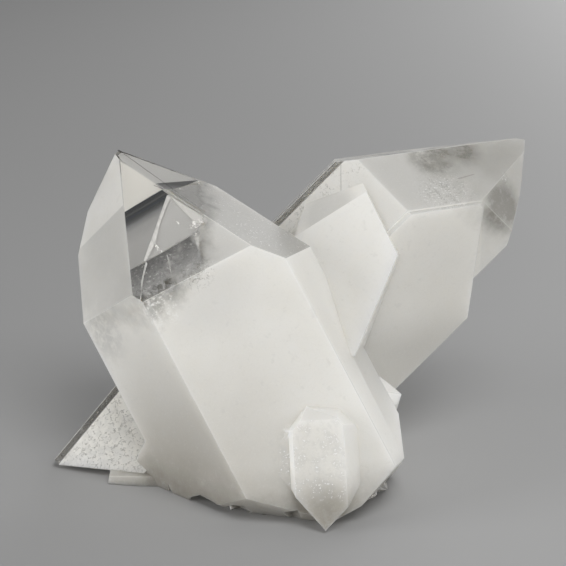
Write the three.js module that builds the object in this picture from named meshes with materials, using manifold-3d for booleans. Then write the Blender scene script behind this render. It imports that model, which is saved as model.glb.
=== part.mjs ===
// A clear quartz cluster: a few hexagonal crystals grown through one another on a broken-off base.
// Millimetres, +Z up, the flat underside on z = 0 and the origin under the middle of the cluster.
import * as THREE from 'three';
import { ConvexGeometry } from 'three/addons/geometries/ConvexGeometry.js';
import { mergeVertices } from 'three/addons/utils/BufferGeometryUtils.js';
import Module from 'manifold-3d';

const wasm = await Module();
wasm.setup();

// Quartz: six prism faces 60 degrees apart, and over each one a pyramid face that slopes to the axis.
const PRISM_FACES = 6;
const PYRAMID_NORMAL_FROM_AXIS = THREE.MathUtils.degToRad(51.79);

// A broken lump: how many corners it has, how far they keep from its middle as a share of its half sizes,
// and the turn from one corner to the next, which spreads them evenly.
const CHUNK_CORNERS = 15;
const CHUNK_LEAST_REACH = 0.88;
const CHUNK_CORNER_TURN = 2.4;

// Corners closer than this are one corner.
const SAME_CORNER = 1e-4;
const ON_PLANE = 1e-6;

// Places below are measured from the middle of the cluster, and the underside is cut flat this far below.
const UNDERSIDE = -47.5;

// A crystal points along its axis: lean is the angle from upright, bearing the direction of the lean,
// anticlockwise from +X, and twist the turn of face 0 about the axis. prism is the distance of each prism
// face from the axis, pyramid how far each pyramid face stands out from the tip, and trims are chipped,
// broken or contact faces: a direction and its distance from the tip.
const mainPoint = {
  tip: [-39.1, 17.6, 25.3], lean: 33, bearing: 148.9, twist: 72.6, length: 98,
  prism: [24.3, 26.4, 31.4, 19.4, 15, 20.6],
  pyramid: [0, 0, 0, 5.4, 7, 8],
  trims: [
    [-0.89, 0.14, 0.43, 1.7],
    [-0.98, 0.06, 0.19, 5.5],
    [0.1, 0.11, 0.99, 1.6],
    [1, 0.03, 0.08, 60.9],
    [0.75, -0.3, -0.59, 98],
    [-0.2, -0.61, -0.75, 75.6],
  ],
};
const rightPoint = {
  tip: [58.4, 26.9, 24.7], lean: 46.1, bearing: 11.6, twist: -138.1, length: 140,
  prism: [23.3, 12.2, 12.6, 18, 22, 31],
  pyramid: [0, 0, 0, 3, 4, 3.4],
  trims: [
    [-0.768, 0.25, 0.59, 39.6],
    [-0.58, -0.06, -0.82, 124.2],
    [-0.06, -0.3, -1, 81.9],
    [0.967, -0.078, -0.242, 1.4],
  ],
};
// A second growth clings to the back of the main point, parallel to it and well short of its tip.
const mainSkirt = {
  ...mainPoint, length: 90,
  prism: [18, 18, 24, 21.2, 18, 14],
  pyramid: [-4, -4, -4, -14, -22, -16],
  trims: [],
};
// The right point grew a fatter skirt in front, also parallel, which stops short of its clear tip.
const rightSkirt = {
  ...rightPoint, length: 100,
  prism: [22.9, 13, 18.6, 16, 20, 20],
  pyramid: [-0.3, 0, -8.9, 0, 0, -2],
  trims: [],
};
const middlePoint = {
  tip: [19.6, 10.4, 19.3], lean: 36.2, bearing: 54.5, twist: 130.3, length: 39,
  prism: [11.6, 0, 14, 14, 20, 14],
  pyramid: [9, 9, 9, 9, 9, 9],
  trims: [
    [-0.41, -0.57, 0.71, 0],
    [0.88, 0.05, 0.47, 0.2],
    [0.92, -0.21, -0.33, 13.1],
  ],
};
const frontPoint = {
  tip: [8.4, -24.5, -22], lean: 22.2, bearing: 97.9, twist: 108.5, length: 30,
  prism: [7.2, 3.5, 6.4, 9, 9, 9],
  pyramid: [2.6, 1, 2.4, 3, 3, 3],
  trims: [
    [0.12, -0.1, 0.98, 0.1],
    [-0.7, 0, -0.7, 16.5],
    [0.7, 0, -0.7, 18.3],
  ],
};
// Behind the front point, parallel and a little wider to its left.
const frontSkirt = {
  ...frontPoint,
  prism: [10.2, 1.6, 4, 9, 9, 9],
  pyramid: [2.4, -1.5, -0.5, 3, 3, 3],
};
// Smaller crystals on the side away from the two big points.
const backPoints = [
  {
    tip: [-20, 46, -10], lean: 34, bearing: 108, twist: 12, length: 52,
    prism: [8, 7, 9, 8, 7.5, 8],
    pyramid: [0, 0.8, 0, 0.5, 0, 1],
  },
  {
    tip: [9, 52, -4], lean: 30, bearing: 82, twist: 40, length: 60,
    prism: [9, 10, 8, 10, 9, 9],
    pyramid: [0, 0, 1.5, 0, 0.8, 0],
  },
  {
    tip: [33, 42, -16], lean: 44, bearing: 38, twist: 5, length: 46,
    prism: [7, 6, 7, 6, 7, 6.5],
    pyramid: [0.4, 0, 0, 0, 0.6, 0],
  },
  {
    tip: [-36, 35, -24], lean: 52, bearing: 142, twist: 25, length: 32,
    prism: [5, 6, 5, 5.5, 5, 6],
    pyramid: [0, 0.5, 0, 0, 0.5, 0],
  },
  {
    tip: [22, 50, -30], lean: 58, bearing: 66, twist: 50, length: 30,
    prism: [5, 5, 6, 5, 5, 5],
    pyramid: [0, 0, 0.5, 0, 0, 0.4],
  },
];
// Broken rock-like quartz at the root: middle, half sizes and a number that picks its shape.
const rootLumps = [
  [[18, -4, -42], [9.5, 12, 9], 3],
  [[19, 8, -37], [8.4, 10, 11], 4],
  [[17.4, -14.4, -45], [8.8, 8.4, 5.6], 5],
  [[0, 30, -42], [30, 18, 13], 6],
  [[-22, 22, -42], [18, 16, 11], 7],
  [[15, 26, -42], [13, 18, 12], 8],
  [[24.5, -6, -36], [3, 4, 3.5], 9],
  [[25, -9, -41], [2.6, 4, 4], 10],
  [[22.5, -1, -28.8], [6.2, 4, 6], 19],
];
// Places where a flake has broken out of the lower edge.
const flakes = [
  [[-17, -21, -48.4], [6.5, 9, 5], 11],
  [[-11, -28, -47.6], [5, 6, 3.4], 12],
  [[2, -33.5, -47.5], [3.2, 6, 4.6], 13],
  [[15.5, -27, -48], [3.4, 6, 3.4], 14],
  [[29.5, -8, -31.5], [2.4, 5, 4.4], 15],
  [[29.4, -8, -45], [2.6, 5, 3], 16],
  [[22.5, -17.5, -46.5], [3, 4, 2.6], 17],
];
// Low on the left, under the broken end of the right point: a flat ledge, and the foot of the main point,
// which spreads level with its left face. Each is the hull of these corners.
const ledge = [
  [-41.6, -8.6, -48], [-34.5, -9.9, -48], [-26, -10.4, -48], [-27, 0, -48], [-41.2, 1, -48],
  [-41.3, -8.2, -45.6], [-34, -9.2, -45.3], [-27, -9.6, -45.2], [-28, 0, -44.2], [-40.9, 1, -44.8],
];
const foot = [
  [-32.2, -10.3, -35.5], [-34.3, -6.9, -40.4], [-35.2, -4.8, -45.3], [-34.1, -5.3, -48.2],
  [-31.1, -8.1, -49.4], [-27.1, -12.5, -48.3], [-27.3, -15.1, -36.6],
  [-25.9, -4.2, -34], [-28, -0.8, -38.9], [-29, 1.3, -43.9], [-24.8, -2, -47.9], [-21, -9, -35.2],
];

function solid(geometry) {
  geometry.deleteAttribute('normal');
  geometry.deleteAttribute('uv');
  const merged = mergeVertices(geometry, SAME_CORNER);
  return new wasm.Manifold(new wasm.Mesh({
    numProp: 3,
    vertProperties: new Float32Array(merged.attributes.position.array),
    triVerts: new Uint32Array(merged.index.array),
  }));
}

// The corners of the space inside a set of planes: each point where three meet and no other cuts it off.
function cornersOf(planes) {
  const corners = [];
  const rows = new THREE.Matrix3();
  for (let a = 0; a < planes.length; a += 1) {
    for (let b = a + 1; b < planes.length; b += 1) {
      for (let c = b + 1; c < planes.length; c += 1) {
        const [p, q, r] = [planes[a].normal, planes[b].normal, planes[c].normal];
        rows.set(p.x, p.y, p.z, q.x, q.y, q.z, r.x, r.y, r.z);
        if (Math.abs(rows.determinant()) > ON_PLANE) {
          const point = new THREE.Vector3(planes[a].constant, planes[b].constant, planes[c].constant);
          point.negate().applyMatrix3(rows.invert());
          if (planes.every((plane) => plane.distanceToPoint(point) < ON_PLANE)) corners.push(point);
        }
      }
    }
  }
  return corners;
}

function crystal({ tip, lean, bearing, twist, length, prism, pyramid, trims = [] }) {
  const attitude = new THREE.Matrix4().makeRotationZ(THREE.MathUtils.degToRad(bearing));
  attitude.multiply(new THREE.Matrix4().makeRotationY(THREE.MathUtils.degToRad(lean)));
  attitude.multiply(new THREE.Matrix4().makeRotationZ(THREE.MathUtils.degToRad(twist)));
  const planes = [];
  const addFace = (direction, reach) => {
    planes.push(new THREE.Plane(direction.transformDirection(attitude), -reach));
  };
  addFace(new THREE.Vector3(0, 0, -1), length);
  for (let face = 0; face < PRISM_FACES; face += 1) {
    const around = face * 2 * Math.PI / PRISM_FACES;
    addFace(new THREE.Vector3(Math.cos(around), Math.sin(around), 0), prism[face]);
    const outward = Math.sin(PYRAMID_NORMAL_FROM_AXIS);
    const upward = Math.cos(PYRAMID_NORMAL_FROM_AXIS);
    addFace(new THREE.Vector3(outward * Math.cos(around), outward * Math.sin(around), upward), pyramid[face]);
  }
  for (const [x, y, z, reach] of trims) {
    planes.push(new THREE.Plane(new THREE.Vector3(x, y, z).normalize(), -reach));
  }
  return solid(new ConvexGeometry(cornersOf(planes)).translate(...tip));
}

// Numbers from 0 to 1 that are scattered but come out the same each time, from the usual
// multiply, add and remainder.
const SCATTER = { multiplier: 1103515245, increment: 12345, modulus: 2 ** 31 };
function scattered(seed) {
  let state = seed * SCATTER.increment;
  return () => {
    state = (state * SCATTER.multiplier + SCATTER.increment) % SCATTER.modulus;
    return state / SCATTER.modulus;
  };
}

// A lump with flat broken faces: the hull of points scattered over an ellipsoid.
function chunk([middle, halfSizes, seed]) {
  const random = scattered(seed);
  const points = [];
  for (let i = 0; i < CHUNK_CORNERS; i += 1) {
    const reach = THREE.MathUtils.lerp(CHUNK_LEAST_REACH, 1, random());
    const fromTop = Math.acos(1 - 2 * (i + random()) / CHUNK_CORNERS);
    const around = i * CHUNK_CORNER_TURN + random();
    const point = new THREE.Vector3().setFromSphericalCoords(reach, fromTop, around);
    points.push(point.multiply(new THREE.Vector3(...halfSizes)).add(new THREE.Vector3(...middle)));
  }
  return solid(new ConvexGeometry(points));
}

const grown = [mainPoint, mainSkirt, rightPoint, rightSkirt, middlePoint, ...backPoints].map(crystal);
const hulls = [ledge, foot].map((corners) => {
  return solid(new ConvexGeometry(corners.map((corner) => new THREE.Vector3(...corner))));
});
const root = rootLumps.map(chunk).concat(hulls);
let cluster = grown.concat(root).reduce((whole, next) => whole.add(next));
for (const flake of flakes) cluster = cluster.subtract(chunk(flake));
cluster = cluster.add(crystal(frontSkirt)).add(crystal(frontPoint));

// Everything under the base is cut away flat.
const BELOW = 400;
const belowBase = new THREE.BoxGeometry(BELOW, BELOW, BELOW);
belowBase.translate(0, 0, UNDERSIDE - BELOW / 2);
cluster = cluster.subtract(solid(belowBase));

const { vertProperties, triVerts } = cluster.getMesh();
const geometry = new THREE.BufferGeometry();
geometry.setAttribute('position', new THREE.BufferAttribute(new Float32Array(vertProperties), 3));
geometry.setIndex(new THREE.BufferAttribute(new Uint32Array(triVerts), 1));
geometry.computeBoundingBox();
const { min, max } = geometry.boundingBox;

const quartz = new THREE.MeshStandardMaterial({ color: 0xe4e4e0, roughness: 0.15, metalness: 0 });
const mesh = new THREE.Mesh(geometry, quartz);
mesh.name = 'quartz_cluster';
mesh.position.set(-(min.x + max.x) / 2, -(min.y + max.y) / 2, -min.z);

const group = new THREE.Group();
group.add(mesh);
export default group;
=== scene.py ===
from math import cos, pi, radians, sin

import bmesh
import bpy
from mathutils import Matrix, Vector


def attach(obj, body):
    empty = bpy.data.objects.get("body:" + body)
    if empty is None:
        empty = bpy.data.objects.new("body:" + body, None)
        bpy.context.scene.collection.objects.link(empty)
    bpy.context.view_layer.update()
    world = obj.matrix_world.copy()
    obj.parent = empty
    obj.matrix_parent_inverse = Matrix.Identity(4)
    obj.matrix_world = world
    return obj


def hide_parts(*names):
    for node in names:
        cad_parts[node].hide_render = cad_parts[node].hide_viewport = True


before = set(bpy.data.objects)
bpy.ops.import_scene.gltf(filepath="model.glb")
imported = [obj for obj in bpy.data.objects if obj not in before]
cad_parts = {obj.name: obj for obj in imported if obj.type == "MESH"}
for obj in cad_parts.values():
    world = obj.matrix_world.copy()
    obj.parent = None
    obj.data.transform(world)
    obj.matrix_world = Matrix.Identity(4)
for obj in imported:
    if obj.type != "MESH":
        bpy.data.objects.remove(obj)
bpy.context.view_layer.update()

# The crystals, grown together
# One natural piece of quartz: six-sided crystals grown through one another on a broken root. It is cloudy
# white below and clears towards the tips, and handling has worn its long edges by a tenth of a millimetre.
MM = 0.001
EDGE_WEAR = 0.11 * MM
SHARP_EDGE = radians(18)
LONG_EDGE = 4 * MM
UNDERSIDE_MARGIN = 1 * MM
SAME_CORNER = 0.001 * MM
SAME_FACE = radians(0.6)
SMALL_CRYSTAL = Vector((7, -42, 12)) * MM
SMALL_CRYSTAL_REACH = 18 * MM

skin = bmesh.new()
skin.from_mesh(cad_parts["quartz_cluster"].data)
bmesh.ops.remove_doubles(skin, verts=skin.verts, dist=SAME_CORNER)
bmesh.ops.dissolve_limit(skin, angle_limit=SAME_FACE, verts=skin.verts, edges=skin.edges)
long_edges = [
    edge for edge in skin.edges
    if edge.is_manifold and edge.is_convex
    and edge.calc_face_angle() > SHARP_EDGE
    and edge.calc_length() > LONG_EDGE
    and min(corner.co.z for corner in edge.verts) > UNDERSIDE_MARGIN
    and min((corner.co - SMALL_CRYSTAL).length for corner in edge.verts) > SMALL_CRYSTAL_REACH
]
worn = bmesh.ops.bevel(
    skin, geom=long_edges, offset=EDGE_WEAR, segments=2, profile=0.5, affect="EDGES", material=-1,
    clamp_overlap=False,
)
for face in worn["faces"]:
    face.material_index = 1


def piece(name, shape):
    mesh = bpy.data.meshes.new(name)
    shape.to_mesh(mesh)
    shape.free()
    made = bpy.data.objects.new(name, mesh)
    bpy.context.scene.collection.objects.link(made)
    return made


grown_quartz = piece("grown_quartz", skin)
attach(grown_quartz, "root")
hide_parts("quartz_cluster")


class Shade:
    """A value over a surface: ordinary sums on it add their nodes, and node() adds any other."""

    def __init__(self, tree, socket=None):
        self.tree = tree
        self.socket = socket

    def node(self, kind, settings=None, sockets=None, out=0):
        made = self.tree.nodes.new(kind)
        for name, value in (settings or {}).items():
            if name == "stops":
                stops = made.color_ramp.elements
                while len(stops) < len(value):
                    stops.new(1.0)
                for stop, (at, tone) in zip(stops, value):
                    stop.position = at
                    stop.color = tone
            else:
                setattr(made, name, value)
        for key, value in (sockets or {}).items():
            if isinstance(value, Shade):
                self.tree.links.new(value.socket, made.inputs[key])
            else:
                made.inputs[key].default_value = value
        return Shade(self.tree, made.outputs[out] if len(made.outputs) else None)

    def maths(self, operation, *values):
        return self.node("ShaderNodeMath", {"operation": operation}, dict(enumerate(values)))

    def vector_maths(self, operation, sockets, out=0):
        return self.node("ShaderNodeVectorMath", {"operation": operation}, sockets, out)

    def __add__(self, other):
        return self.maths("ADD", self, other)

    def __sub__(self, other):
        return self.maths("SUBTRACT", self, other)

    def __rsub__(self, other):
        return self.maths("SUBTRACT", other, self)

    def __mul__(self, other):
        return self.maths("MULTIPLY", self, other)

    __radd__ = __add__
    __rmul__ = __mul__

    def most(self, other):
        return self.maths("MAXIMUM", self, other)

    def least(self, other):
        return self.maths("MINIMUM", self, other)

    def rise(self, low, high):
        """0 below low and 1 above high, with a soft step between them; low may be the larger."""
        return self.node(
            "ShaderNodeMapRange", {"interpolation_type": "SMOOTHSTEP"},
            {"Value": self, "From Min": low, "From Max": high},
        )

    def along(self, direction, start=(0, 0, 0)):
        """How far a place lies past start in a direction."""
        reach = self.vector_maths("DOT_PRODUCT", {0: self, 1: direction}, "Value")
        return reach - Vector(start).dot(direction)

    def near(self, middle, core, edge):
        """1 within core of a place, falling to 0 at edge."""
        away = self.vector_maths("DISTANCE", {0: self, 1: middle}, "Value")
        return away.rise(edge, core)

    def near_value(self, middle, reach):
        """1 at a number, falling to 0 at reach on either side."""
        return self.maths("ABSOLUTE", self - middle).rise(reach, 0.0)

    def drawn_out(self, direction, share):
        """The same place with its distance along a direction cut down, which draws a pattern out that way."""
        reach = self.vector_maths("DOT_PRODUCT", {0: self, 1: direction}, "Value")
        cut = self.vector_maths("SCALE", {0: direction, "Scale": reach * share})
        return self.vector_maths("SUBTRACT", {0: self, 1: cut})

    def noise(self, scale, detail=4.0, rough=0.55):
        settings = {"Vector": self, "Scale": scale, "Detail": detail, "Roughness": rough}
        return self.node("ShaderNodeTexNoise", {}, settings)

    def blend(self, first, second):
        """The first colour where this is 0 and the second where it is 1."""
        return self.node("ShaderNodeMix", {"data_type": "RGBA"}, {"Factor": self, 6: first, 7: second}, 2)


def new_finish(name):
    finish = bpy.data.materials.new(name)
    finish.use_nodes = True
    finish.node_tree.nodes.clear()
    return finish, Shade(finish.node_tree)


def mm(*place):
    return Vector(place) * MM


def leaning(lean, bearing):
    """The direction of a crystal that leans so many degrees from upright, towards a bearing from +X."""
    tilt, turn = radians(lean), radians(bearing)
    return Vector((sin(tilt) * cos(turn), sin(tilt) * sin(turn), cos(tilt)))


QUARTZ_IOR = 1.544
MAIN_AXIS = leaning(33, 148.9)
RIGHT_AXIS = leaning(46.1, 11.6)
DOWN_FROM_TIP = Vector((0.589, 0.166, -0.791)).normalized()
DOWN_FRONT = Vector((0.493, -0.772, -0.402)).normalized()
MAIN_LEFT_PYRAMID = Vector((-0.84, -0.37, 0.39)).normalized()
MAIN_FRONT_PYRAMID = Vector((-0.205, -0.552, 0.808)).normalized()
MAIN_RIGHT_PYRAMID = Vector((0.351, -0.011, 0.936)).normalized()
MAIN_LEFT_PRISM = Vector((-0.71, -0.69, -0.16)).normalized()
MAIN_UNDERSIDE = Vector((-0.203, -0.618, -0.76)).normalized()
RIGHT_TIP = mm(56.6, 18.3, 72.2)
RIGHT_TOP_PYRAMID = Vector((0.145, -0.506, 0.85)).normalized()
RIGHT_END_PYRAMID = Vector((0.70, -0.64, 0.31)).normalized()
RIGHT_FRONT_PRISM = Vector((0.337, -0.93, -0.149)).normalized()
RIGHT_BACK_PRISM = Vector((-0.708, 0.172, 0.685)).normalized()
RIGHT_BROKEN_BACK = Vector((-0.768, 0.25, 0.59)).normalized()
RIGHT_LEFT_PRISM = Vector((-0.371, -0.758, 0.536)).normalized()
RIGHT_CHIPPED_TOP = Vector((-0.12, 0.225, 0.967)).normalized()
MIDDLE_FRONT = Vector((-0.411, -0.571, 0.711)).normalized()
SCRATCH_START = mm(39.7, 7.2, 68.4)
SCRATCH_SIDE = Vector((-0.448, 0.732, 0.512)).normalized()
MIDDLE_FACE = Vector((-0.315, -0.75, 0.581)).normalized()
FRONT_FACE = Vector((-0.073, -0.926, 0.37)).normalized()
FRONT_LEFT_FACE = Vector((-0.899, -0.421, 0.12)).normalized()
PYRAMID_LINE = mm(-39.4, -2.8, 64.9)
PYRAMID_LINE_DOWN = Vector((0.042, -0.767, -0.637))
FROSTED_PLACE = mm(-29.3, -28.2, 47.8)
LEFT_DARK_PATCH = mm(34.5, 12.5, 72.5)
RIGHT_DARK_PATCH = mm(41.5, 15.2, 73)
END_SHADE = mm(50.6, 6.8, 61.8)
LOW_LEFT = mm(-22, -29, 6)
LOW_FRONT = mm(8, -44, 3)
LEFT_PATCH = mm(-43, -14, 38)
BESIDE_WINDOW = mm(-19, -25, 51)
MIDDLE_STRIP = mm(9, 2, 62)
SCRATCH_MIDDLE = mm(41.9, 8.3, 68.75)
WINDOW_CHATTER = mm(-22.0, -23.8, 55.3)
TOP_CHATTER = mm(37, 3, 67)
END_GLINT = mm(51.4, 10.5, 67.8)
UPPER_GLINT_STREAK = mm(6.3, -33.6, 24.8)
LOWER_GLINT_STREAK = mm(-0.5, -36, 20.5)
# RIGHT_LEFT_PRISM and MIDDLE_FACE look almost the same way, 4 degrees apart, so a mask that is to hold only
# one of them has these narrow limits
ONE_OF_TWO = (0.9985, 0.9997)
WHITE = (0.86, 0.848, 0.81, 1)
PAINTED_LIGHT_WHITE = (0.93, 0.917, 0.88, 1)
CREAM = (0.80, 0.785, 0.74, 1)
GREY_WHITE = (0.62, 0.612, 0.585, 1)
DULL_GREY = (0.34, 0.33, 0.305, 1)
LOW_GREY = (0.37, 0.345, 0.295, 1)
RIM_GREY = (0.17, 0.17, 0.168, 1)
FROST_AND_GLINT_WHITE = (0.97, 0.965, 0.95, 1)


def quartz_finish(name, worn):
    """worn is how far handling has frosted the stone: 0 on the faces and 1 along the long edges."""
    finish, start = new_finish(name)
    place = start.node("ShaderNodeTexCoord", out="Object")
    normal = start.node("ShaderNodeNewGeometry", out="True Normal")
    wisps = place.drawn_out(DOWN_FRONT, 0.25).noise(170, 5, 0.6) - 0.5
    patchy = place.noise(38, 3)
    mottle = place.noise(420, 4, 0.6)
    fine = place.noise(1200, 5, 0.75)
    specks = place.noise(1300, 2, 0.5)
    up = place.along((0, 0, 1))
    across = place.along((1, 0, 0))
    behind = normal.along((0, 1, 0)).rise(-0.1, 0.3)

    def on(face, nearly=0.985, fully=0.996):
        return normal.along(face).rise(nearly, fully)

    left_pyramid = on(MAIN_LEFT_PYRAMID)
    left_prism = on(MAIN_LEFT_PRISM)
    top_pyramid = on(RIGHT_TOP_PYRAMID)
    end_pyramid = on(RIGHT_END_PYRAMID)
    right_left = on(RIGHT_LEFT_PRISM, *ONE_OF_TWO)
    right_front = on(RIGHT_FRONT_PRISM)
    broken_end = right_left * across.rise(-20 * MM, -22 * MM)
    front_crystal = place.near(SMALL_CRYSTAL, 12 * MM, 17 * MM) * on(FRONT_FACE, 0.995, 0.999)

    # where the stone is clear: both tips, the rim of the right crystal and a little of the root
    down = place.along(DOWN_FROM_TIP) + wisps * (12 * MM)
    tip_clear = down.rise(-56 * MM, -65 * MM) * (across + wisps * (6 * MM)).rise(-16 * MM, -23 * MM)
    frosted = place.near(FROSTED_PLACE, 2 * MM, 6 * MM) * (wisps * 0.7 + fine * 1.6).rise(0.78, 1.05)
    tip_clear = tip_clear * (1 - left_pyramid * 0.8) * (1 - left_prism * 0.4) * (1 - frosted * 0.8)
    out = place.along(RIGHT_AXIS) + wisps * (10 * MM)
    end_clear = out.rise(69 * MM, 80 * MM) * (0.4 - end_pyramid * 0.1)
    # two patches on the right point's top, made clearer and darker grey
    dark_patch = place.near(LEFT_DARK_PATCH, 2 * MM, 8.5 * MM)
    dark_patch = dark_patch.most(place.near(RIGHT_DARK_PATCH, 1 * MM, 6 * MM))
    clouded = ((mottle - 0.5) * 2.2 + (fine - 0.5) * 1.6 + wisps * 1.5 + 0.98).most(0.0)
    dark_patch = dark_patch * clouded * top_pyramid
    past_back = place.along(RIGHT_BACK_PRISM, RIGHT_TIP)
    past_broken = place.along(RIGHT_BROKEN_BACK, RIGHT_TIP)
    rim = right_left * past_back.rise(29.4 * MM, 29.8 * MM).most(past_broken.rise(37.9 * MM, 38.2 * MM))
    back_rim = (place.along(RIGHT_LEFT_PRISM) + wisps * (10 * MM)).rise(14 * MM, 24 * MM)
    back_rim = on(RIGHT_BACK_PRISM) * back_rim
    rim = rim.most(back_rim).most(on(RIGHT_CHIPPED_TOP) * (wisps + patchy * 0.6).rise(0.05, 0.7))
    rim_line = past_back.near_value(30.4 * MM, 0.15 * MM)
    uneven_up = up + wisps * (5 * MM)
    root = uneven_up.rise(15 * MM, 6 * MM) * 0.35 + uneven_up.rise(9.5 * MM, 0.5 * MM) * 0.65
    root = root * (1 - broken_end * 0.9) * (1 - across.rise(-32 * MM, -36 * MM) * 0.4)
    root = root * (1 - on(MAIN_UNDERSIDE) * 0.45)
    clear = tip_clear.most(end_clear).most(dark_patch * 0.5).most(rim * (0.8 - rim_line * 0.4)).most(root * 0.3)
    clear = clear * (0.9 + mottle * 0.2) * (1 - worn * 0.5)
    cloud = (0.97 - clear).most(0.02)

    # its tones, from the broad ones to the marks
    tone = patchy.rise(0.25, 0.75).blend(CREAM, WHITE)
    # painted light: faces that look one of two set ways are whitened as a whole, the first by half
    tone = (on(MIDDLE_FACE, *ONE_OF_TWO) * 0.5 + on(FRONT_LEFT_FACE)).blend(tone, PAINTED_LIGHT_WHITE)
    # painted shade: darker low on the left, more on the main point's left prism, and low in front
    low_left = place.near(LOW_LEFT, 3 * MM, 38 * MM) * (1 - on(FRONT_LEFT_FACE))
    low_front = place.near(LOW_FRONT, 3 * MM, 11 * MM)
    tone = (low_left * 0.46 + left_prism * low_left * 0.26 + low_front * 0.62).blend(tone, LOW_GREY)
    # the root darker towards the bottom
    tone = (root * (0.4 + mottle * 0.8)).least(0.8).blend(tone, LOW_GREY)
    below_line = place.along(PYRAMID_LINE_DOWN, PYRAMID_LINE).rise(-0.2 * MM, 0.4 * MM)
    below_line = below_line * (1 - up.rise(54 * MM, 44 * MM) * 0.4)
    shaded = left_pyramid * (below_line * 0.95 + 0.05) * (1.25 - patchy * 0.5)
    tone = shaded.least(1.0).blend(tone, GREY_WHITE)
    patch = left_prism * place.near(LEFT_PATCH, 3 * MM, 11 * MM) * mottle.rise(0.3, 0.6)
    tone = (patch * 0.85).blend(tone, GREY_WHITE)
    # painted shade: the right point's top and end faces, and its left prism outside the broken end, greyed as
    # a whole
    tone = (top_pyramid * 0.9 + end_pyramid * 0.8).blend(tone, GREY_WHITE)
    tone = (right_left * 0.4 * (1 - broken_end)).blend(tone, GREY_WHITE)
    # painted shade: the main point's front and right end faces and a soft patch beside the window are greyed;
    right_pyramid = on(MAIN_RIGHT_PYRAMID)
    # the right face is darker still, with a random mottle
    by_window = place.near(BESIDE_WINDOW, 4 * MM, 15 * MM) * 0.35
    tone = (on(MAIN_FRONT_PYRAMID) * 0.75 + right_pyramid + by_window).least(1.0).blend(tone, GREY_WHITE)
    tone = (right_pyramid * (0.32 + mottle * 0.3)).blend(tone, DULL_GREY)
    # painted shade: a strip at the end of the right point's front prism, and that prism darker towards the
    # bottom
    end_strip = right_front * across.rise(45.2 * MM, 45.9 * MM)
    tone = (end_strip * 0.35).blend(tone, GREY_WHITE)
    tone = (right_front * up.rise(42 * MM, 26 * MM) * 0.35).blend(tone, DULL_GREY)
    # painted shade on the right point's end face and end strip, broken up by the clouding
    end_shade = place.near(END_SHADE, 1 * MM, 8.5 * MM) * (clouded + 0.42) * (end_pyramid + end_strip)
    tone = end_shade.least(1.0).blend(tone, DULL_GREY)
    tone = dark_patch.least(1.0).blend(tone, DULL_GREY)
    tone = rim.blend(tone, (mottle + fine * 0.8).rise(0.65, 1.05).blend(RIM_GREY, GREY_WHITE))
    # painted shade: a strip of the middle crystal's front is greyed
    middle_strip = place.near(MIDDLE_STRIP, 4 * MM, 9 * MM) * on(MIDDLE_FRONT)
    tone = (middle_strip * 0.7).blend(tone, GREY_WHITE)
    tone = (mottle.rise(0.40, 0.3) * 0.2).blend(tone, GREY_WHITE)
    frost = front_crystal * mottle.rise(0.42, 0.62)
    tone = (frost * 0.35).blend(tone, GREY_WHITE)
    seam = across.near_value(12 * MM, 0.22 * MM) * right_left * up.rise(64.9 * MM, 65.3 * MM)
    tone = (seam * 0.5).blend(tone, DULL_GREY)
    scratch = place.along(SCRATCH_SIDE, SCRATCH_START).near_value(0, 0.28 * MM) * top_pyramid
    scratch = scratch * place.near(SCRATCH_MIDDLE, 1.9 * MM, 2.6 * MM)
    tone = (scratch * 0.9).blend(tone, DULL_GREY)
    tone = (worn * (0.08 + across.rise(5 * MM, 12 * MM) * 0.6)).blend(tone, GREY_WHITE)
    tone = (worn * across.rise(43 * MM, 46 * MM) * 0.35).blend(tone, DULL_GREY)
    chatter = place.near(WINDOW_CHATTER, 1 * MM, 5.5 * MM)
    top_chatter_and_glint = top_pyramid * place.near(TOP_CHATTER, 2 * MM, 9 * MM)
    # a spot of painted glint near the right point's end joins the chatter on its top
    top_chatter_and_glint = top_chatter_and_glint.most(place.near(END_GLINT, 0.5 * MM, 1.8 * MM))
    # painted glints: white specks of highlight, most on the small crystal, the chatter, the frost and the
    # right face
    sparkly = mottle.rise(0.45, 0.6)
    glint_places = front_crystal * sparkly * up.rise(6 * MM, 10 * MM) + chatter + frosted + top_chatter_and_glint * 0.8
    glint_places = glint_places + right_pyramid * sparkly * 0.5 + behind * 0.1 + 0.07
    glints = place.noise(2300, 2, 0.5).rise(0.59, 0.65) * glint_places
    # painted glints: two white streaks on the small front crystal, broken up by the mottle
    glint_streaks = place.near(UPPER_GLINT_STREAK, 0.6 * MM, 2.4 * MM)
    glint_streaks = glint_streaks.most(place.near(LOWER_GLINT_STREAK, 0.5 * MM, 2.4 * MM))
    glint_streaks = glint_streaks * (mottle + fine * 0.6).rise(0.7, 0.95)
    # the painted glints and glint streaks in white, with the frosted patch's own white
    tone = glints.most(frosted * 0.6).most(glint_streaks * 0.9).least(1.0).blend(tone, FROST_AND_GLINT_WHITE)
    squiggles = place.noise(620, 3, 0.6).near_value(0.5, 0.045) * specks.rise(0.43, 0.53)
    chipped = broken_end * (0.35 + mottle.rise(0.35, 0.55) * 0.65)
    chipped = chipped.most(right_left * past_back.rise(22 * MM, 28 * MM) * mottle.rise(0.45, 0.6) * 0.7)
    scarred = behind * patchy.rise(0.45, 0.65) * 0.3 + 0.04
    pits = squiggles * (chipped + chatter * 1.5 + top_chatter_and_glint * 0.7 + scarred).least(1.0)
    tone = (broken_end * (mottle + fine * 0.6).rise(0.9, 0.7) * 0.45).blend(tone, GREY_WHITE)
    tone = (pits * 0.9).blend(tone, DULL_GREY)

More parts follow.
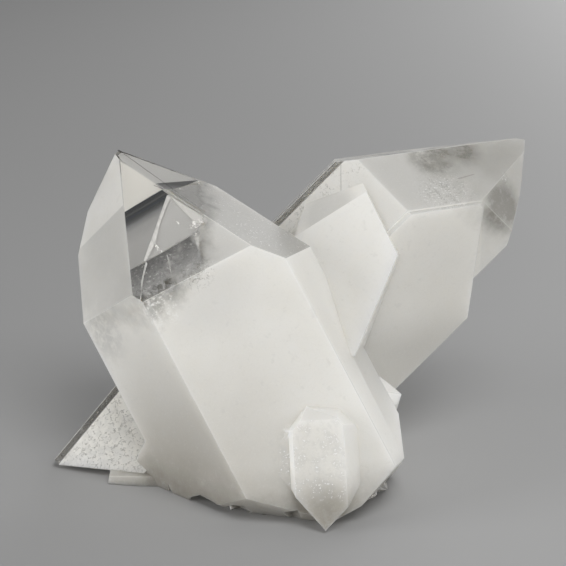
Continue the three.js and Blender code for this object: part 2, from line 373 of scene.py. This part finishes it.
    # its relief, and the milky and the clear stone
    growth_lines = place.drawn_out(MAIN_AXIS, -2.5).noise(330, 3, 0.6) * behind
    height = mottle * 0.5 + specks * 0.16 + growth_lines * 0.8 - pits * 1.5
    bump = start.node("ShaderNodeBump", {}, {"Strength": 0.13, "Distance": 0.35 * MM, "Height": height})
    rough = 0.30 + patchy * 0.2 + worn * 0.2
    milky = start.node("ShaderNodeBsdfPrincipled", {}, {
        "Base Color": tone, "Roughness": rough, "IOR": QUARTZ_IOR, "Specular IOR Level": 0.4,
        "Subsurface Weight": 1.0, "Subsurface Radius": (1.0, 0.97, 0.92), "Subsurface Scale": 7 * MM,
        "Normal": bump,
    })
    glass = start.node("ShaderNodeBsdfPrincipled", {}, {
        "Base Color": (1, 1, 1, 1), "Roughness": 0.02, "IOR": QUARTZ_IOR, "Transmission Weight": 1.0,
    })
    lamp_ray = start.node("ShaderNodeLightPath", out="Is Shadow Ray")
    unseen = start.node("ShaderNodeBsdfTransparent", {}, {"Color": (0.93, 0.93, 0.92, 1)})
    glass = start.node("ShaderNodeMixShader", {}, {0: lamp_ray, 1: glass, 2: unseen})
    quartz = start.node("ShaderNodeMixShader", {}, {0: cloud, 1: glass, 2: milky})
    start.node("ShaderNodeOutputMaterial", {}, {"Surface": quartz})
    return finish


grown_quartz.data.materials.append(quartz_finish("quartz", 0.0))
grown_quartz.data.materials.append(quartz_finish("quartz_worn_edge", 1.0))

# The flaws and the painted sheets inside the main point
# Old cracks, healed over, and sheets of painted light and shade. They lie just under two faces of the main
# point's end, as thin flat films: the bright one is a painted reflection, the dark, grey and pale ones are
# painted shade, and the white ones are cracks, feathers and wisps; a narrow crack runs down between them.
FILM = 0.06 * MM
FILM_WAVER = 0.4 * MM
FILM_DARK_DOT = (0.05, 0.05, 0.05, 1)


def film(name, under, corners, finish):
    sheet = bmesh.new()
    front = sheet.faces.new([sheet.verts.new(mm(*corner)) for corner in corners])
    front.normal_update()
    if front.normal.dot(under) < 0:
        bmesh.ops.reverse_faces(sheet, faces=[front])
    bmesh.ops.solidify(sheet, geom=sheet.faces[:], thickness=FILM)
    bmesh.ops.recalc_face_normals(sheet, faces=sheet.faces)
    made = piece(name, sheet)
    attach(made, "root")
    made.data.materials.append(finish)


def film_finish(name, stops, direction, start_at, span, cover=None, speckle=0.0):
    """A film whose tone changes along a direction over a span, and whose cover may be broken up."""
    finish, start = new_finish(name)
    place = start.node("ShaderNodeTexCoord", out="Object")
    along = place.along(direction, start_at) + (place.noise(600, 2) - 0.5) * FILM_WAVER
    tone = start.node("ShaderNodeValToRGB", {"stops": stops}, {"Fac": along * (1 / span)})
    if speckle:
        dots = place.noise(1500, 3, 0.7)
        tone = (dots.rise(0.58, 0.68) * speckle).blend(tone, GREY_WHITE)
        tone = (dots.rise(0.44, 0.34) * speckle).blend(tone, FILM_DARK_DOT)
    sockets = {"Base Color": tone, "Roughness": 0.9, "Specular IOR Level": 0.0}
    if cover:
        sockets["Alpha"] = cover(place, along * (1 / span))
    shader = start.node("ShaderNodeBsdfPrincipled", {}, sockets)
    start.node("ShaderNodeOutputMaterial", {}, {"Surface": shader})
    return finish


def grey(tone, tint=0.0):
    return (tone, tone * (1 - tint * 0.3), tone * (1 - tint), 1)


def from_to(first, last, tint=0.05):
    """The tones of a film that goes from one grey to another."""
    return [(0, grey(first, tint)), (1, grey(last, tint))]


def wispy(place, along):
    return 0.35 + place.drawn_out(DOWN_FRONT, 0.85).noise(900, 3, 0.6) * 0.7


def fading(place, along):
    """Whole at first, then broken up and gone by the end."""
    return ((place.noise(330, 5, 0.68) - 0.5) * 1.8 + 0.82 - along).rise(-0.08, 0.2)


def feathery(place, along):
    return place.noise(1100, 4, 0.7).rise(0.44, 0.58) * 0.9


def flecks(place, along):
    return place.drawn_out(MAIN_AXIS, 0.5).noise(700, 5, 0.7).rise(0.58, 0.68) * 0.9


# painted reflection: a bright sheet under the front face of the main point's end
bright = film_finish("bright_film", from_to(0.52, 0.50, 0.09), DOWN_FRONT, mm(-40, 8, 71), 10 * MM)
film("painted_reflection_sheet", MAIN_FRONT_PYRAMID, [
    (-40.6, 8.9, 72.3), (-30.1, -0.9, 68.2), (-38.9, -4.5, 63.6),
], bright)
# painted shade: dark bands under the same face, below the bright sheet
bands = film_finish("banded_film", [
    (0.0, (0.030, 0.036, 0.042, 1)), (0.13, grey(0.04)), (0.17, grey(0.075)), (0.21, grey(0.04)),
    (0.25, (0.034, 0.04, 0.047, 1)), (0.34, grey(0.05)), (0.41, grey(0.08)), (0.49, grey(0.16)),
    (0.64, grey(0.25, 0.04)), (1.0, grey(0.29, 0.05)),
], DOWN_FRONT, mm(-38.8, -4.1, 63.5), 10 * MM)
film("painted_shade_bands", MAIN_FRONT_PYRAMID, [
    (-38.9, -4.4, 63.6), (-30.2, -1.2, 68.0), (-28.7, -2.7, 67.3), (-30.9, -9.3, 62.3),
    (-33.4, -18.0, 55.7), (-37.2, -19.1, 53.7),
], bands)
UPPER_CORNER = mm(-28, -3, 66.7)
# painted shade: a grey sheet under the front face
grey_shade = film_finish("grey_film", from_to(0.39, 0.37), DOWN_FRONT, UPPER_CORNER, 12 * MM)
film("painted_shade_grey_sheet", MAIN_FRONT_PYRAMID, [
    (-28.3, -3.3, 66.8), (-24.8, -8.0, 64.5), (-20.3, -12.5, 62.6), (-22.5, -14.1, 61.0),
    (-28.9, -16.4, 57.8), (-33.3, -17.9, 55.6),
], grey_shade)
# painted shade: a pale grey sheet over part of the grey one
pale = film_finish("pale_film", from_to(0.46, 0.5, 0.06), DOWN_FRONT, UPPER_CORNER, 12 * MM)
film("painted_shade_pale_sheet", MAIN_FRONT_PYRAMID, [
    (-28.3, -3.3, 67.1), (-20.8, -9.9, 64.4), (-18.8, -12.1, 63.4), (-22.0, -11.6, 63.0),
    (-24.8, -8.1, 64.6),
], pale)
# painted shade: a dark window under the front face, breaking up towards its lower end, with specks
window = film_finish("dark_film", [
    (0, grey(0.10, 0.04)), (0.3, grey(0.16, 0.04)), (0.7, grey(0.26, 0.04)), (1, grey(0.4, 0.05)),
], DOWN_FRONT, mm(-30, -16.5, 57), 12 * MM, cover=fading, speckle=0.5)
film("painted_shade_window", MAIN_FRONT_PYRAMID, [
    (-37.3, -19.2, 53.7), (-33.4, -18.0, 55.5), (-28.8, -16.5, 57.7), (-22.5, -14.1, 60.9),
    (-21.2, -17.8, 58.8), (-20.4, -20.4, 57.2), (-20.4, -24.3, 54.5), (-23.8, -26.2, 50.9),
    (-28.4, -26.6, 50.2), (-32.5, -26.6, 49.9), (-36.0, -25.4, 49.8),
], window)
crack = film_finish("white_film", from_to(0.6, 0.66), DOWN_FRONT, UPPER_CORNER, 12 * MM, cover=wispy)
film("flaw_crack_upper", MAIN_FRONT_PYRAMID, [
    (-29.0, -3.0, 67.3), (-28.1, -3.4, 67.2), (-30.4, -9.5, 62.4), (-31.2, -13.8, 59.3),
    (-32.9, -17.5, 56.4), (-33.4, -18.2, 55.7), (-33.9, -17.8, 55.9), (-31.9, -11.9, 60.4),
], crack)
film("flaw_crack_lower", MAIN_FRONT_PYRAMID, [
    (-33.4, -18.1, 55.8), (-33.0, -18.9, 55.4), (-33.7, -21.6, 53.3), (-34.1, -26.0, 49.9),
    (-34.1, -27.4, 48.4), (-34.4, -26.6, 49.1), (-34.2, -22.5, 52.6), (-33.6, -19.2, 55.0),
], crack)
film("flaw_streak", MAIN_FRONT_PYRAMID, [
    (-28.6, -17.6, 57.4), (-28.1, -18.5, 56.9), (-27.1, -22.6, 54.4), (-26.0, -26.2, 50.9),
    (-26.3, -26.2, 50.9), (-27.5, -22.5, 54.3),
], crack)
feather = film_finish("feather_film", from_to(0.75, 0.75), DOWN_FRONT, UPPER_CORNER, 12 * MM, cover=feathery)
film("flaw_feather_right", MAIN_FRONT_PYRAMID, [
    (-24.0, -12.7, 61.9), (-22.7, -11.1, 63.4), (-20.8, -11.0, 63.8), (-20.3, -12.2, 63.2),
    (-21.7, -13.0, 62.3),
], feather)
film("flaw_feather_middle", MAIN_FRONT_PYRAMID, [
    (-27.1, -9.4, 63.3), (-25.9, -10.5, 62.9), (-25.2, -11.6, 62.3), (-26.4, -10.8, 62.6),
], feather)
film("flaw_feather_edge", MAIN_FRONT_PYRAMID, [
    (-22.1, -13.9, 61.5), (-21.2, -15.1, 61.0), (-20.8, -19.1, 58.3), (-21.8, -16.7, 59.7),
], feather)
film("flaw_feather_crack", MAIN_FRONT_PYRAMID, [
    (-31.7, -13.4, 59.5), (-30.7, -15.1, 58.5), (-29.4, -16.9, 57.6), (-30.1, -17.0, 57.4),
    (-31.3, -15.4, 58.2),
], feather)
DOWN_TOP = Vector((0.5, -0.8, -0.2)).normalized()
TOP_CORNER = mm(-32, 2, 69)
# painted shade: dark and grey sheets under the right face of the main point's end
top_dark = film_finish(
    "top_dark_film", [(0, grey(0.085)), (0.3, grey(0.17)), (1, grey(0.35))], DOWN_TOP, TOP_CORNER, 8 * MM,
)
film("painted_shade_top_dark", MAIN_RIGHT_PYRAMID, [
    (-32.3, 0.5, 68.7), (-22.2, 15.6, 65.6), (-24.8, 8.2, 66.5), (-28.0, 0.3, 67.6), (-30.0, -1.3, 68.3),
], top_dark)
top_grey = film_finish("top_grey_film", from_to(0.46, 0.46), DOWN_TOP, TOP_CORNER, 8 * MM)
film("painted_shade_top_grey", MAIN_RIGHT_PYRAMID, [
    (-41.4, 12.2, 72.6), (-40.8, 15.8, 72.4), (-22.2, 15.3, 65.4), (-32.2, 0.8, 68.7), (-40.5, 9.3, 72.2),
], top_grey)
# painted shade: a speckled grey sheet under the same face
top_shade = film_finish(
    "top_shade_film", [(0, grey(0.28, 0.05)), (0.5, grey(0.36, 0.05)), (1, grey(0.55, 0.05))],
    DOWN_FROM_TIP, mm(-30, 1, 68), 14 * MM, speckle=0.25,
)
film("painted_shade_top_speckled", MAIN_RIGHT_PYRAMID, [
    (-28.5, -0.6, 67.5), (-24.8, 7.8, 66.2), (-20.7, 15.1, 64.7), (-12.6, 7.6, 61.6), (-13.8, -5.1, 61.9),
    (-20.1, -7.2, 64.2), (-26.0, -3.3, 66.5),
], top_shade)
top_wisps = film_finish("wisp_film", from_to(0.8, 0.8), DOWN_TOP, mm(-28, 0, 67), 14 * MM, cover=flecks)
film("flaw_top_wisps", MAIN_RIGHT_PYRAMID, [
    (-28.5, -0.6, 67.8), (-24.8, 7.8, 66.5), (-20.7, 15.1, 65.0), (-12.6, 7.6, 61.9), (-13.8, -5.1, 62.2),
    (-20.1, -7.2, 64.5), (-26.0, -3.3, 66.8),
], top_wisps)

# The table top
# A plain grey studio table, a hair below the underside. It isn't part of the cluster.
TABLE_HALF_WIDTH = 3.0
TABLE_DROP = 0.05 * MM
TABLE_GREY = (0.38, 0.38, 0.38, 1)
top = bmesh.new()
bmesh.ops.create_grid(top, x_segments=1, y_segments=1, size=TABLE_HALF_WIDTH)
bmesh.ops.translate(top, verts=top.verts, vec=(0, 0, -TABLE_DROP))
table = piece("table", top)
table_finish, start = new_finish("pale_table")
dull = start.node("ShaderNodeBsdfPrincipled", {}, {"Base Color": TABLE_GREY, "Roughness": 0.7})
start.node("ShaderNodeOutputMaterial", {}, {"Surface": dull})
table.data.materials.append(table_finish)

# The studio lights
# Four large soft lights around the cluster: one high in front, one low on each side and one behind it on the
# right. A dim even light fills the rest of the room.
MIDDLE = mm(-1.79, -8.57, 47.5)
ROOM_GREY = (0.5, 0.5, 0.5, 1)
ROOM_STRENGTH = 0.3


def softbox(name, place, size, power):
    """A square soft light, so many metres wide and so many watts, turned to the cluster's middle."""
    lamp = bpy.data.lights.new(name, "AREA")
    lamp.shape = "SQUARE"
    lamp.size = size
    lamp.energy = power
    holder = bpy.data.objects.new(name, lamp)
    holder.location = place
    holder.rotation_euler = (MIDDLE - Vector(place)).to_track_quat("-Z", "Y").to_euler()
    bpy.context.scene.collection.objects.link(holder)


softbox("key", (0.2, -0.5, 0.72), 0.42, 3.9)
softbox("fill", (-0.75, -0.28, 0.16), 0.5, 4.2)
softbox("side", (0.7, -0.42, 0.16), 0.4, 1.8)
softbox("back", (0.35, 0.6, 0.25), 0.45, 2.2)
world = bpy.data.worlds.new("studio")
bpy.context.scene.world = world
world.use_nodes = True
room_light = world.node_tree.nodes["Background"]
room_light.inputs["Color"].default_value = ROOM_GREY
room_light.inputs["Strength"].default_value = ROOM_STRENGTH

# The camera
# It stands 60 cm away in front and looks down 18 degrees, both assumed, since the photograph gives neither.
# The picture spans twice HALF_PICTURE at the cluster's middle.
VIEW_DISTANCE = 0.6
VIEW_RISE = radians(18)
HALF_PICTURE = 66.52 * MM
SENSOR = 36
view = bpy.data.cameras.new("camera")
view.sensor_width = SENSOR
view.lens = SENSOR / 2 * VIEW_DISTANCE / HALF_PICTURE
camera = bpy.data.objects.new("camera", view)
camera.location = MIDDLE + VIEW_DISTANCE * Vector((0, -cos(VIEW_RISE), sin(VIEW_RISE)))
camera.rotation_euler = (pi / 2 - VIEW_RISE, 0, 0)
bpy.context.scene.collection.objects.link(camera)
bpy.context.scene.camera = camera
bpy.context.scene.view_settings.view_transform = "Standard"
